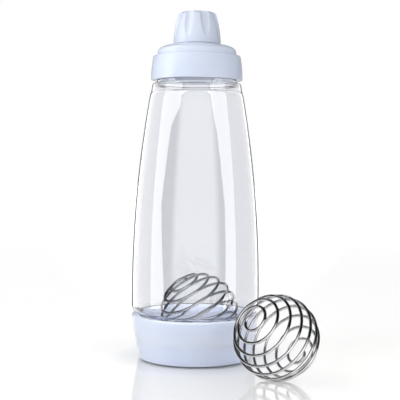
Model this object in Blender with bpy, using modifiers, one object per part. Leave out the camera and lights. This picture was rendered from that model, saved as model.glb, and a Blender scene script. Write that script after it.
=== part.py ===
"""Batter dispenser.

A clear bottle screws down into a deep base cup and takes a stepped screw lid on top. The lid carries a
silicone pouring nozzle under a fluted screw cap. One wire whisk ball lies loose in the bottle and a
second one stands beside it. Metres, +Z up. The origin is the middle of the base cup's underside.
"""

import math

import bpy
import numpy as np
from mathutils import Matrix, Vector

# Clearances, and sizes that several pieces share
SEAT_GAP = 0.0003
FIT_GAP = 0.0003
THREAD_DEPTH = 0.0012
NECK_WALL = 0.0022
SEAL_THICKNESS = 0.0016
WALL_LEAN_POWER = 2.0

# Bottle
BOTTLE_WALL = 0.0020
BOTTLE_LENGTH = 0.1982
BOTTLE_REST_GAP = 0.0005
BOTTLE_WIDE_RADIUS = 0.0550
BOTTLE_WIDE_HEIGHT = 0.0195
BOTTLE_SKIRT_INSET = 0.0001
BOTTLE_BOTTOM_ROUND = 0.0057
BOTTLE_CHEST_STEP = 0.0005
BOTTLE_BAND_INSET = 0.0001
BOTTLE_BAND_HEIGHT = 0.0070
BOTTLE_BAND_ROUND = 0.0020

# Base cup, whose rim stands just inside the bottle's widest part
BASE_HEIGHT = 0.0387
BASE_RIM_INSET = 0.0002
BASE_LEAN = 0.0059
BASE_LEAN_POWER = 1.3
BASE_FOOT_ROUND = 0.0012
BASE_RIM_ROUND = 0.0013
BASE_RIM_WALL = 0.0046
BASE_FLOOR_THICKNESS = 0.0064
BASE_WELL_ROUND = 0.0040
BASE_LEDGE_HEIGHT = 0.0180
BASE_LEDGE_WIDTH = 0.0042

# Lid
LID_GAP = 0.0026
LID_COLLAR_HEIGHT = 0.0210
LID_COLLAR_RADIUS = 0.0393
LID_COLLAR_LEAN = 0.0017
LID_COLLAR_WALL = 0.0035
LID_COLLAR_ROUND = 0.0014
LID_LIP_ROUND = 0.0006
LID_PLATE = 0.0035
LID_WALL = 0.0022
LID_STEP_WIDTH = 0.0039
LID_STEP_HEIGHT = 0.0034
LID_DOME_RISE = 0.0055
LID_PLATEAU_MARGIN = 0.0007
LID_PLATEAU_HEIGHT = 0.0006
SPOUT_WALL = 0.0018

# Cap
CAP_HEIGHT = 0.0272
CAP_SKIRT_RADIUS = 0.0203
CAP_LEAN = 0.0036
CAP_TOP_ROUND = 0.0036
CAP_TOP_THICKNESS = 0.0022
CAP_SHELL = 0.0027
CAP_GROOVE_WIDTH = 0.0014
CAP_GROOVE_DEPTH = 0.0085
CAP_SLEEVE_WALL = 0.0022
CAP_LINER_INSET = 0.0023
CAP_LINER_THICKNESS = 0.0014
FLUTE_COUNT = 8
FLUTE_RADIUS = 0.0068
FLUTE_POINT_HEIGHT = 0.0048
FLUTE_DEPTH = 0.0019
FLUTE_DEEP_HEIGHT = 0.0205

# Nozzle
NOZZLE_WALL = 0.0016
NOZZLE_RISE = 0.0046
NOZZLE_FLANGE_THICKNESS = 0.0016
NOZZLE_SLEEVE_LENGTH = 0.0103
NOZZLE_HOLE_RADIUS = 0.0032
NOZZLE_LIP = 0.0014

# Whisk balls, each with the compass direction, the rise and the spin of its wire's first end
WHISK_RADIUS = 0.0339
WIRE_RADIUS = 0.00115
WHISK_PITCH_DEG = 16.9
WHISK_END_DEG = 7.65
WHISK_SIDE_GAP = 0.0060
WHISK_DIRECTION_DEG = -55.0
WHISK_TURN_DEG = (-153.5, 56.0, 119.8)
SPARE_GAP = 0.0209
SPARE_DIRECTION_DEG = -54.8
SPARE_TURN_DEG = (-136.0, 31.0, 228.1)

# Steps along the rounded parts of a profile and round the axis
TURN_STEPS = 40
SMALL_TURN_STEPS = 32
ROUND_STEPS = 3
FINE_ROUND_STEPS = 2
BODY_STEPS = 8
WALL_STEPS = 4
DOME_STEPS = 5
FLUTE_SIDES = 24
WHISK_POINTS_PER_LOOP = 24

# Radii that follow from the sizes above
NECK_TO_WALL = FIT_GAP + THREAD_DEPTH
BASE_RIM_RADIUS = BOTTLE_WIDE_RADIUS - BASE_RIM_INSET
BASE_FOOT_RADIUS = BASE_RIM_RADIUS - BASE_LEAN
BASE_THREAD_RADIUS = BASE_RIM_RADIUS - BASE_RIM_WALL
BASE_WELL_RADIUS = BASE_THREAD_RADIUS - BASE_LEDGE_WIDTH
BOTTLE_SKIRT_RADIUS = BOTTLE_WIDE_RADIUS - BOTTLE_SKIRT_INSET
BOTTLE_BAND_RADIUS = LID_COLLAR_RADIUS - BOTTLE_BAND_INSET
BOTTLE_CHEST_RADIUS = BOTTLE_BAND_RADIUS + BOTTLE_CHEST_STEP
LOWER_NECK_RADIUS = BASE_THREAD_RADIUS - NECK_TO_WALL
LID_COLLAR_TOP_RADIUS = LID_COLLAR_RADIUS - LID_COLLAR_LEAN
LID_THREAD_RADIUS = LID_COLLAR_RADIUS - LID_COLLAR_WALL
LID_STEP_RADIUS = LID_COLLAR_TOP_RADIUS - LID_STEP_WIDTH
UPPER_NECK_RADIUS = LID_THREAD_RADIUS - NECK_TO_WALL
LID_PLATEAU_RADIUS = CAP_SKIRT_RADIUS + LID_PLATEAU_MARGIN
CAP_SHOULDER_RADIUS = CAP_SKIRT_RADIUS - CAP_LEAN
CAP_THREAD_RADIUS = CAP_SKIRT_RADIUS - CAP_SHELL - CAP_GROOVE_WIDTH - CAP_SLEEVE_WALL
CAP_LINER_RADIUS = CAP_THREAD_RADIUS - CAP_LINER_INSET
SPOUT_RADIUS = CAP_THREAD_RADIUS - NECK_TO_WALL
SPOUT_BORE = SPOUT_RADIUS - SPOUT_WALL
WIRE_LINE_RADIUS = WHISK_RADIUS - WIRE_RADIUS

# Heights that follow from the sizes above
BASE_SEAL_BOTTOM = BASE_LEDGE_HEIGHT + SEAT_GAP
BOTTLE_MOUTH = BASE_SEAL_BOTTOM + SEAL_THICKNESS + SEAT_GAP
BOTTLE_BOTTOM = BASE_HEIGHT + BOTTLE_REST_GAP
BOTTLE_TOP = BOTTLE_BOTTOM + BOTTLE_LENGTH
LID_BOTTOM = BOTTLE_TOP + LID_GAP
LID_COLLAR_TOP = LID_BOTTOM + LID_COLLAR_HEIGHT
LID_CEILING = LID_COLLAR_TOP - LID_PLATE
LID_SEAL_BOTTOM = LID_CEILING - SEAT_GAP - SEAL_THICKNESS
UPPER_NECK_TOP = LID_SEAL_BOTTOM - SEAT_GAP
LID_DOME_BASE = LID_COLLAR_TOP + LID_STEP_HEIGHT
LID_DOME_TOP = LID_DOME_BASE + LID_DOME_RISE
LID_PLATEAU = LID_DOME_TOP + LID_PLATEAU_HEIGHT
CAP_BOTTOM = LID_PLATEAU + SEAT_GAP
CAP_TOP = CAP_BOTTOM + CAP_HEIGHT
CAP_CEILING = CAP_TOP - CAP_TOP_THICKNESS
LINER_BOTTOM = CAP_CEILING - SEAT_GAP - CAP_LINER_THICKNESS
NOZZLE_TIP = LINER_BOTTOM - SEAT_GAP
FLANGE_TOP = NOZZLE_TIP - NOZZLE_RISE
FLANGE_BOTTOM = FLANGE_TOP - NOZZLE_FLANGE_THICKNESS
SPOUT_TOP = FLANGE_BOTTOM - SEAT_GAP


def clear_scene():
    for thing in list(bpy.data.objects):
        bpy.data.objects.remove(thing)


def new_collection(name):
    collection = bpy.data.collections.new(name)
    bpy.context.scene.collection.children.link(collection)
    return collection


def new_material(name, colour, roughness, metallic=0.0, alpha=1.0):
    material = bpy.data.materials.new(name)
    material.use_nodes = True
    shader = material.node_tree.nodes["Principled BSDF"]
    shader.inputs["Base Color"].default_value = (*colour, 1.0)
    shader.inputs["Roughness"].default_value = roughness
    shader.inputs["Metallic"].default_value = metallic
    shader.inputs["Alpha"].default_value = alpha
    return material


def world_place(empty):
    place = Vector(empty.location)
    while empty.parent is not None:
        empty = empty.parent
        place += Vector(empty.location)
    return place


def hang(thing, parent, place):
    """Puts the thing at a place of the world, as a child of an unturned empty."""
    thing.location = place
    if parent is not None:
        thing.parent = parent
        thing.location = place - world_place(parent)


def joint_axis(name, height, parent=None):
    """An empty on the bottle's axis, which the pieces of one joint hang on."""
    empty = bpy.data.objects.new(name, None)
    empty.empty_display_size = BASE_FOOT_RADIUS
    PARTS.objects.link(empty)
    hang(empty, parent, Vector((0.0, 0.0, height)))
    return empty


def arc(centre, size, start_deg, end_deg, count):
    """Points of a circle or ellipse arc, as (radius, height)."""
    points = []
    for step in range(count + 1):
        angle = math.radians(start_deg + (end_deg - start_deg) * step / count)
        points.append((centre[0] + size[0] * math.cos(angle), centre[1] + size[1] * math.sin(angle)))
    return points


def rounding(corner, size, start_deg, end_deg, count=ROUND_STEPS):
    """A quarter circle or less whose centre is the corner."""
    return arc(corner, (size, size), start_deg, end_deg, count)


def leaning(wide, narrow, power, count):
    """Points from the wide end of a wall to its narrow end, which leans in ever faster on the way."""
    points = []
    for step in range(count + 1):
        along = step / count
        radius = wide[0] + (narrow[0] - wide[0]) * along**power
        points.append((radius, wide[1] + (narrow[1] - wide[1]) * along))
    return points


def turned(name, profile, parent, material, closed=True, steps=TURN_STEPS):
    """A profile of (radius, height) points, turned about the bottle's axis."""
    origin = world_place(parent)
    points = [(radius, 0.0, height - origin.z) for radius, height in profile]
    edges = [(index, index + 1) for index in range(len(points) - 1)]
    if closed:
        edges.append((len(points) - 1, 0))
    mesh = bpy.data.meshes.new(name)
    mesh.from_pydata(points, edges, [])
    mesh.materials.append(material)
    piece = bpy.data.objects.new(name, mesh)
    PARTS.objects.link(piece)
    hang(piece, parent, origin)
    screw = piece.modifiers.new("turn", "SCREW")
    screw.steps = steps
    screw.render_steps = steps
    screw.use_merge_vertices = True
    screw.merge_threshold = 0.00001
    screw.use_smooth_shade = True
    return piece


def ring(name, bore, radius, bottom, parent):
    """A flat sealing ring."""
    top = bottom + SEAL_THICKNESS
    profile = [(bore, top), (radius, top), (radius, bottom), (bore, bottom)]
    return turned(name, profile, parent, SILICONE)


def base_cup(parent):
    """A deep cup whose wall leans out. Its well has a ledge for the seal and a wall for the thread."""
    foot = (BASE_FOOT_RADIUS, BASE_FOOT_ROUND)
    rim = (BASE_RIM_RADIUS, BASE_HEIGHT - BASE_RIM_ROUND)
    well_corner = (BASE_WELL_RADIUS - BASE_WELL_ROUND, BASE_FLOOR_THICKNESS + BASE_WELL_ROUND)
    profile = [(0.0, BASE_FLOOR_THICKNESS)]
    profile += rounding(well_corner, BASE_WELL_ROUND, -90, 0)
    profile += [(BASE_WELL_RADIUS, BASE_LEDGE_HEIGHT), (BASE_THREAD_RADIUS, BASE_LEDGE_HEIGHT)]
    profile += rounding((BASE_THREAD_RADIUS + BASE_RIM_ROUND, rim[1]), BASE_RIM_ROUND, 180, 90)
    profile += rounding((rim[0] - BASE_RIM_ROUND, rim[1]), BASE_RIM_ROUND, 90, 0)[:-1]
    profile += leaning(rim, foot, BASE_LEAN_POWER, WALL_STEPS)
    profile += rounding((foot[0] - BASE_FOOT_ROUND, foot[1]), BASE_FOOT_ROUND, 0, -90, FINE_ROUND_STEPS)[1:]
    profile.append((0.0, 0.0))
    return turned("base_cup", profile, parent, PLASTIC, closed=False)


def bottle(parent):
    """A clear body that narrows upward, with a rounded band under its upper neck and a neck at each end."""
    wide = (BOTTLE_WIDE_RADIUS, BOTTLE_BOTTOM + BOTTLE_WIDE_HEIGHT)
    chest = (BOTTLE_CHEST_RADIUS, BOTTLE_TOP - BOTTLE_BAND_HEIGHT)
    body = leaning(wide, chest, WALL_LEAN_POWER, BODY_STEPS)[::-1]
    band_corner = (BOTTLE_BAND_RADIUS - BOTTLE_BAND_ROUND, BOTTLE_TOP - BOTTLE_BAND_ROUND)
    skirt_corner = (BOTTLE_SKIRT_RADIUS - BOTTLE_BOTTOM_ROUND, BOTTLE_BOTTOM + BOTTLE_BOTTOM_ROUND)
    neck_bore = UPPER_NECK_RADIUS - NECK_WALL
    mouth_bore = LOWER_NECK_RADIUS - NECK_WALL
    ceiling = BOTTLE_TOP - BOTTLE_WALL

    outer = [(UPPER_NECK_RADIUS, UPPER_NECK_TOP), (UPPER_NECK_RADIUS, BOTTLE_TOP)]
    outer += rounding(band_corner, BOTTLE_BAND_ROUND, 90, 0)
    outer += [(BOTTLE_BAND_RADIUS, chest[1])]
    outer += body
    outer += rounding(skirt_corner, BOTTLE_BOTTOM_ROUND, 0, -90)
    outer += [(LOWER_NECK_RADIUS, BOTTLE_BOTTOM), (LOWER_NECK_RADIUS, BOTTLE_MOUTH)]

    inner = [(neck_bore, UPPER_NECK_TOP), (neck_bore, BOTTLE_TOP), (neck_bore + BOTTLE_WALL, ceiling)]
    inner += rounding(
        (band_corner[0] - BOTTLE_WALL, ceiling - BOTTLE_BAND_ROUND), BOTTLE_BAND_ROUND, 90, 0,
        FINE_ROUND_STEPS,
    )
    inner += [(radius - BOTTLE_WALL, height) for radius, height in body]
    inner += rounding(skirt_corner, BOTTLE_BOTTOM_ROUND - BOTTLE_WALL, 0, -60, FINE_ROUND_STEPS)
    inner += [(mouth_bore, BOTTLE_BOTTOM), (mouth_bore, BOTTLE_MOUTH)]
    return turned("bottle", outer + inner[::-1], parent, CLEAR)


def lid(parent):
    """A collar over the upper neck, a stepped dome on it and the spout that the cap screws on to."""
    collar_top = (LID_COLLAR_TOP_RADIUS, LID_COLLAR_TOP - LID_COLLAR_ROUND)
    collar_foot = (LID_COLLAR_RADIUS, LID_BOTTOM + LID_LIP_ROUND)
    dome_centre = (LID_PLATEAU_RADIUS, LID_DOME_BASE)
    dome_size = (LID_STEP_RADIUS - LID_PLATEAU_RADIUS, LID_DOME_RISE)
    dome_hollow = (dome_size[0] - LID_WALL, dome_size[1] - LID_WALL)

    outer = [(SPOUT_RADIUS, SPOUT_TOP), (SPOUT_RADIUS, LID_PLATEAU), (LID_PLATEAU_RADIUS, LID_PLATEAU)]
    outer += arc(dome_centre, dome_size, 90, 0, DOME_STEPS)
    outer.append((LID_STEP_RADIUS, LID_COLLAR_TOP))
    outer += rounding((collar_top[0] - LID_COLLAR_ROUND, collar_top[1]), LID_COLLAR_ROUND, 90, 0)[:-1]
    outer += leaning(collar_foot, collar_top, WALL_LEAN_POWER, WALL_STEPS)[::-1]
    outer += rounding(
        (collar_foot[0] - LID_LIP_ROUND, collar_foot[1]), LID_LIP_ROUND, 0, -90, FINE_ROUND_STEPS
    )[1:]

    inner = [(LID_THREAD_RADIUS, LID_BOTTOM), (LID_THREAD_RADIUS, LID_CEILING)]
    inner.append((LID_STEP_RADIUS - LID_WALL, LID_CEILING))
    inner += arc(dome_centre, dome_hollow, 0, 90, DOME_STEPS)
    inner += [(SPOUT_BORE, LID_DOME_TOP - LID_WALL), (SPOUT_BORE, SPOUT_TOP)]
    return turned("lid", outer + inner, parent, PLASTIC)


def nozzle(parent):
    """A silicone tip that plugs into the spout, with a flange on its rim and a domed mouth."""
    sleeve = SPOUT_BORE - FIT_GAP
    bore = sleeve - NOZZLE_WALL
    foot = FLANGE_TOP - NOZZLE_SLEEVE_LENGTH
    mouth = (NOZZLE_HOLE_RADIUS + NOZZLE_LIP, FLANGE_TOP)
    inner_mouth = (NOZZLE_HOLE_RADIUS, FLANGE_TOP)

    profile = arc(mouth, (sleeve - mouth[0], NOZZLE_RISE), 90, 0, WALL_STEPS)
    profile += [(SPOUT_RADIUS, FLANGE_TOP), (SPOUT_RADIUS, FLANGE_BOTTOM)]
    profile += [(sleeve, FLANGE_BOTTOM), (sleeve, foot), (bore, foot)]
    profile += arc(inner_mouth, (bore - inner_mouth[0], NOZZLE_RISE - NOZZLE_WALL), 0, 90, WALL_STEPS)
    profile.append((NOZZLE_HOLE_RADIUS, NOZZLE_TIP))
    return turned("nozzle", profile, parent, SILICONE, steps=SMALL_TURN_STEPS)


def cap_liner(parent):
    """The sealing disc in the cap's ceiling."""
    top = LINER_BOTTOM + CAP_LINER_THICKNESS
    profile = [(0.0, top), (CAP_LINER_RADIUS, top), (CAP_LINER_RADIUS, LINER_BOTTOM), (0.0, LINER_BOTTOM)]
    return turned("cap_liner", profile, parent, SILICONE, closed=False, steps=SMALL_TURN_STEPS)


def cap(parent):
    """A cap with a threaded sleeve inside a bowed shell, and flutes that narrow to a point lower down."""
    skirt = (CAP_SKIRT_RADIUS, CAP_BOTTOM)
    shoulder = (CAP_SHOULDER_RADIUS, CAP_TOP - CAP_TOP_ROUND)
    shell_bore = CAP_SKIRT_RADIUS - CAP_SHELL
    sleeve = CAP_THREAD_RADIUS + CAP_SLEEVE_WALL
    groove_top = CAP_BOTTOM + CAP_GROOVE_DEPTH
    thread_top = FLANGE_TOP + SEAT_GAP
    liner_bore = CAP_LINER_RADIUS + FIT_GAP

    profile = [(0.0, CAP_TOP)]
    profile += rounding((shoulder[0] - CAP_TOP_ROUND, shoulder[1]), CAP_TOP_ROUND, 90, 0)[:-1]
    profile += leaning(skirt, shoulder, WALL_LEAN_POWER, WALL_STEPS)[::-1]
    profile += [(shell_bore, CAP_BOTTOM), (shell_bore, groove_top), (sleeve, groove_top)]
    profile += [(sleeve, CAP_BOTTOM), (CAP_THREAD_RADIUS, CAP_BOTTOM), (CAP_THREAD_RADIUS, thread_top)]
    profile += [(liner_bore, thread_top + CAP_THREAD_RADIUS - liner_bore), (liner_bore, CAP_CEILING)]
    profile.append((0.0, CAP_CEILING))
    piece = turned("cap", profile, parent, PLASTIC, closed=False)
    for index in range(FLUTE_COUNT):
        cut = piece.modifiers.new("flute_%d" % index, "BOOLEAN")
        cut.operation = "DIFFERENCE"
        cut.solver = "EXACT"
        cut.object = flute_cutter(index, parent)
    return piece


def cap_side(height):
    """A point of the cap's bowed side, at a height above its bottom edge."""
    along = height / (CAP_HEIGHT - CAP_TOP_ROUND)
    radius = CAP_SKIRT_RADIUS + (CAP_SHOULDER_RADIUS - CAP_SKIRT_RADIUS) * along**WALL_LEAN_POWER
    return Vector((radius, 0.0, height))


def flute_cutter(index, parent):
    """A leaning rod that just meets the cap's side at the flute's point and cuts deepest near its top."""
    point = cap_side(FLUTE_POINT_HEIGHT)
    deep = cap_side(FLUTE_DEEP_HEIGHT) - Vector((FLUTE_DEPTH, 0.0, 0.0))
    line = (deep - point).normalized()
    outward = Vector((line.z, 0.0, -line.x))
    middle = point + outward * FLUTE_RADIUS + line * (CAP_HEIGHT / 2)
    bpy.ops.mesh.primitive_cylinder_add(vertices=FLUTE_SIDES, radius=FLUTE_RADIUS, depth=2 * CAP_HEIGHT)
    cutter = bpy.context.object
    cutter.name = "flute_cutter_%d" % index
    around = Matrix.Rotation(2 * math.pi * (index + 0.5) / FLUTE_COUNT - math.pi / 2, 3, "Z")
    lean = Matrix.Rotation(math.atan2(line.x, line.z), 3, "Y")
    cutter.rotation_euler = (around @ lean).to_euler()
    hang(cutter, parent, around @ middle + Vector((0.0, 0.0, CAP_BOTTOM)))
    cutter.hide_render = True
    cutter.display_type = "WIRE"
    for collection in list(cutter.users_collection):
        collection.objects.unlink(cutter)
    CUTTERS.objects.link(cutter)
    return cutter


def whisk_line():
    """The wire's centre line: one spiral from pole to pole of a ball, at an even pitch of polar angle."""
    sweep = 180.0 - 2 * WHISK_END_DEG
    loops = sweep / WHISK_PITCH_DEG
    count = round(loops * WHISK_POINTS_PER_LOOP)
    points = []
    for step in range(count + 1):
        polar = math.radians(WHISK_END_DEG + sweep * step / count)
        around = 2 * math.pi * loops * step / count
        points.append(WIRE_LINE_RADIUS * Vector((
            math.sin(polar) * math.cos(around),
            math.sin(polar) * math.sin(around),
            math.cos(polar),
        )))
    return points


def least_gap(points):
    """The least gap between stretches of the wire that are over half a loop apart along it."""
    line = np.array([tuple(point) for point in points])
    apart = np.linalg.norm(line[:, None] - line[None, :], axis=2)
    index = np.arange(len(line))
    far_along = np.abs(index[:, None] - index[None, :]) > WHISK_POINTS_PER_LOOP // 2
    return apart[far_along].min() - 2 * WIRE_RADIUS


def pole_turn(direction_deg, rise_deg, spin_deg):
    """The turn that points a ball's upper pole in a compass direction at a rise, after a spin about it."""
    spin = Matrix.Rotation(math.radians(spin_deg), 3, "Z")
    tip = Matrix.Rotation(math.radians(90.0 - rise_deg), 3, "Y")
    return Matrix.Rotation(math.radians(direction_deg), 3, "Z") @ tip @ spin


def whisk_ball(name, distance, direction_deg, turn_deg, floor, parent):
    """A ball of one wire, turned as given and set down on a floor at a distance from the bottle's axis."""
    points = whisk_line()
    turn = pole_turn(*turn_deg)
    lowest = min((turn @ point).z for point in points) - WIRE_RADIUS
    direction = math.radians(direction_deg)
    curve = bpy.data.curves.new(name, "CURVE")
    curve.dimensions = "3D"
    curve.bevel_depth = WIRE_RADIUS
    curve.bevel_resolution = 1
    curve.use_fill_caps = True
    spline = curve.splines.new("POLY")
    spline.points.add(len(points) - 1)
    for target, point in zip(spline.points, points):
        target.co = (*point, 1.0)
    curve.materials.append(STEEL)
    ball = bpy.data.objects.new(name, curve)
    PARTS.objects.link(ball)
    ball.rotation_euler = turn.to_euler()
    place = (distance * math.cos(direction), distance * math.sin(direction), floor - lowest)
    hang(ball, parent, Vector(place))
    return ball


clear_scene()
PARTS = new_collection("batter_dispenser")
CUTTERS = new_collection("cutters")
PLASTIC = new_material("pale_plastic", (0.80, 0.84, 0.94), 0.28)
CLEAR = new_material("clear_plastic", (0.93, 0.94, 0.96), 0.05, alpha=0.25)
SILICONE = new_material("silicone", (0.72, 0.76, 0.86), 0.55)
STEEL = new_material("steel_wire", (0.62, 0.62, 0.63), 0.18, metallic=1.0)

base_axis = joint_axis("base_axis", 0.0)
bottle_axis = joint_axis("bottle_axis", BASE_LEDGE_HEIGHT, base_axis)
lid_axis = joint_axis("lid_axis", UPPER_NECK_TOP, bottle_axis)
cap_axis = joint_axis("cap_axis", SPOUT_TOP, lid_axis)

base_cup(base_axis)
ring(
    "base_seal", BASE_WELL_RADIUS + FIT_GAP, BASE_THREAD_RADIUS - FIT_GAP, BASE_SEAL_BOTTOM, bottle_axis
)
bottle(bottle_axis)
ring(
    "lid_seal", UPPER_NECK_RADIUS - NECK_WALL + FIT_GAP, LID_THREAD_RADIUS - FIT_GAP, LID_SEAL_BOTTOM,
    lid_axis,
)
lid(lid_axis)
nozzle(lid_axis)
cap_liner(cap_axis)
cap(cap_axis)
whisk_ball(
    "whisk_ball", BASE_WELL_RADIUS - WHISK_SIDE_GAP - WHISK_RADIUS, WHISK_DIRECTION_DEG,
    WHISK_TURN_DEG, BASE_FLOOR_THICKNESS + SEAT_GAP, base_axis,
)
whisk_ball(
    "spare_whisk_ball", BASE_RIM_RADIUS + SPARE_GAP + WHISK_RADIUS, SPARE_DIRECTION_DEG,
    SPARE_TURN_DEG, 0.0, base_axis,
)
print("least gap of the whisk wire to itself: %.2f mm" % (1000 * least_gap(whisk_line())))
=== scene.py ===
"""The looks of the batter dispenser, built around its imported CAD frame. Metres, +Z up."""

import math

import bmesh
import bpy
from mathutils import Matrix, Vector


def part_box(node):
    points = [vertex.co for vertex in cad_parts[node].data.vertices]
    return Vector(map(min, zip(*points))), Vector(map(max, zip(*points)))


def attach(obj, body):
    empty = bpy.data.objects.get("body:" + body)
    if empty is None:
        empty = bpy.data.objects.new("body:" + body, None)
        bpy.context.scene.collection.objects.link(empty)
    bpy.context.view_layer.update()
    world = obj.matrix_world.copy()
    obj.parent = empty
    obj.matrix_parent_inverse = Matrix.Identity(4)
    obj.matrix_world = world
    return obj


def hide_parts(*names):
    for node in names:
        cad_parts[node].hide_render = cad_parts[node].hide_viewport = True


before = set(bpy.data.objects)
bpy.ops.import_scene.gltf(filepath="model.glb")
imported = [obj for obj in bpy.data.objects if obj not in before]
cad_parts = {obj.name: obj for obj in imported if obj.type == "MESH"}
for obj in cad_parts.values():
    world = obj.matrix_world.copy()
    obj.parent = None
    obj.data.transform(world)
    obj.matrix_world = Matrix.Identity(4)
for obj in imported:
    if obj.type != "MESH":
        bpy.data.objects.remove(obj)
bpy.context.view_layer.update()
SCENE = bpy.context.scene
SCENE.view_settings.view_transform = "Standard"

# Sizes of the CAD source, in millimetres
MM = 0.001
SEAT_GAP = 0.3
FIT_GAP = 0.3
NECK_WALL = 2.2
SEAL_THICKNESS = 1.6
WALL_LEAN_POWER = 2.0
BASE_HEIGHT = 38.7
BASE_RIM_RADIUS = 54.8
BASE_RIM_ROUND = 1.3
BASE_FOOT_RADIUS = 48.9
BASE_LEAN_POWER = 1.3
BASE_WELL_RADIUS = 46.0
BASE_WELL_ROUND = 4.0
BASE_THREAD_RADIUS = 50.2
BASE_LEDGE_HEIGHT = 18.0
BASE_FLOOR = 6.4
BASE_SEAL_BOTTOM = 18.3
BOTTLE_MOUTH = 20.2
BOTTLE_BOTTOM = 39.2
BOTTLE_BOTTOM_ROUND = 5.7
BOTTLE_TOP = 237.4
BOTTLE_WALL = 2.0
BOTTLE_WIDE_RADIUS = 55.0
BOTTLE_WIDE_Z = 58.7
BOTTLE_SKIRT_RADIUS = 54.9
BOTTLE_CHEST_RADIUS = 39.7
BOTTLE_CHEST_Z = 230.4
BOTTLE_BAND_RADIUS = 39.2
LOWER_NECK_RADIUS = 48.7
UPPER_NECK_RADIUS = 34.3
UPPER_NECK_TOP = 255.3
LID_BOTTOM = 240.0
LID_COLLAR_RADIUS = 39.3
LID_COLLAR_TOP_RADIUS = 37.6
LID_COLLAR_TOP = 261.0
LID_COLLAR_ROUND = 1.4
LID_LIP_ROUND = 0.6
LID_CEILING = 257.5
LID_SEAL_BOTTOM = 255.6
LID_THREAD_RADIUS = 35.8
LID_STEP_RADIUS = 33.7
LID_WALL = 2.2
LID_DOME_BASE = 264.4
LID_DOME_RISE = 5.5
LID_PLATEAU = 270.5
LID_PLATEAU_RADIUS = 21.0
SPOUT_TOP = 287.3
SPOUT_RADIUS = 12.5
SPOUT_BORE = 10.7
FLANGE_BOTTOM = 287.6
FLANGE_TOP = 289.2
NOZZLE_TIP = 293.8
NOZZLE_FOOT = 278.9
NOZZLE_WALL = 1.6
NOZZLE_HOLE_RADIUS = 3.2
NOZZLE_LIP = 1.4
CAP_BOTTOM = 270.8
CAP_TOP = 298.0
CAP_SKIRT_RADIUS = 20.3
CAP_SHOULDER_RADIUS = 16.7
CAP_TOP_ROUND = 3.6
CAP_CEILING = 295.8
CAP_SHELL = 2.7
CAP_GROOVE_DEPTH = 8.5
CAP_SLEEVE_WALL = 2.2
CAP_THREAD_RADIUS = 14.0
LINER_RADIUS = 11.7
LINER_BOTTOM = 294.1
LINER_THICKNESS = 1.4
FLUTE_COUNT = 8
FLUTE_RADIUS = 6.8
FLUTE_POINT_HEIGHT = 4.8
FLUTE_DEPTH = 1.9
FLUTE_DEEP_HEIGHT = 20.5
WHISK_RADIUS = 33.9
WIRE_RADIUS = 1.15
WHISK_PITCH_DEG = 16.9
WHISK_END_DEG = 7.65
WHISK_TURN_DEG = (-153.5, 56.0, 119.8)
SPARE_TURN_DEG = (-136.0, 31.0, 228.1)
CAD_POINTS_PER_LOOP = 24

# Fine steps of the visual model: points round the axis, along walls and rounds, and along the wire
TURN_STEPS = 288
CAP_TURN_STEPS = 384
SMALL_TURN_STEPS = 96
THREAD_STEP = 0.3
BODY_STEPS = 60
WALL_STEPS = 24
DOME_STEPS = 28
HOLLOW_STEPS = 20
COLLAR_STEPS = 20
BIG_ROUND_STEPS = 12
ROUND_STEPS = 8
EDGE_STEPS = 4
SHARP_DEG = 32.0
POINTS_PER_LOOP = 96
WIRE_SIDES = 16
WIRE_SHARP_DEG = 60.0
WIRE_END_STEPS_DEG = (80, 60, 40, 20)

# Small forms that only the visual model has, in millimetres
EDGE = 0.4
FINE_EDGE = 0.3
FOOT_ROUND = 0.8
FOOT_GAP_HEIGHT = 1.2
FOOT_GAP_DEPTH = 8.0
LEDGE_FILLET = 0.6
BAND_ROUND = 2.2
BAND_LEAN = 0.9
BAND_INNER_ROUND = 0.6
CREASE_Z = 229.2
CREASE_TOP = 0.7
CREASE_MIDDLE = 0.3
CREASE_DEPTH = 0.25
CREASE_LIP = 0.2
NECK_FILLET = 0.5
BORE_EASE = 0.6
BORE_FLAT = 2.0
MOUTH_LEAD = 4.0
NECK_LEAD = 6.0
RIB_COUNT = 3
RIB_PITCH = 2.4
RIB_DROP = 2.2
RIB_SIZE = (0.2, 0.5)
NOZZLE_MOUTH_EASE = 0.5
BEAD_RISE = 0.15
BEAD_SIZE = (0.5, BEAD_RISE)
SEAL_EDGE = 0.35
LINER_BEAD_SHARES = (0.70, 0.74, 0.80, 0.84)
CAP_FLAT_RADII = (0.0, 5.0, 9.0)
FLUTE_EDGE = 0.12
FLUTE_ROUNDS = 12

# Threads: how far their ridges stand out of a neck or into a bore, and where they run
RIDGE_OUT = 0.60
RIDGE_IN = 0.45
MOUTH_PITCH = 4.4
NECK_PITCH = 4.0
SPOUT_PITCH = 3.0
BOTTLE_STARTS = 2
SPOUT_STARTS = 1
BASE_THREAD_SPAN = (21.5, 35.5)
LOWER_NECK_THREAD_SPAN = (22.5, 35.5)
UPPER_NECK_THREAD_SPAN = (241.0, 253.5)
LID_THREAD_SPAN = (242.0, 254.5)
SPOUT_THREAD_SPAN = (273.0, 284.5)
CAP_THREAD_SPAN = (273.0, 285.5)
FLANK_SHARE = 0.28
FLANK_SLOPE = 0.6
FADE_SHARE = 0.5


def srgb(red, green, blue):
    """A screen colour of 0 to 255 as the linear colour that shaders take."""
    linear = []
    for value in (red / 255, green / 255, blue / 255):
        linear.append(value / 12.92 if value <= 0.04045 else ((value + 0.055) / 1.055) ** 2.4)
    return (*linear, 1.0)


def grey(value):
    """A grey of one linear value."""
    return (value, value, value, 1.0)


# Materials and their nodes

def new_material(name):
    """A material with its node tree and its shader."""
    material = bpy.data.materials.new(name)
    material.use_nodes = True
    tree = material.node_tree
    return material, tree, tree.nodes["Principled BSDF"]


def set_inputs(node, values):
    """Sets a node's own sockets by name."""
    for socket, value in values.items():
        node.inputs[socket].default_value = value


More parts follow.
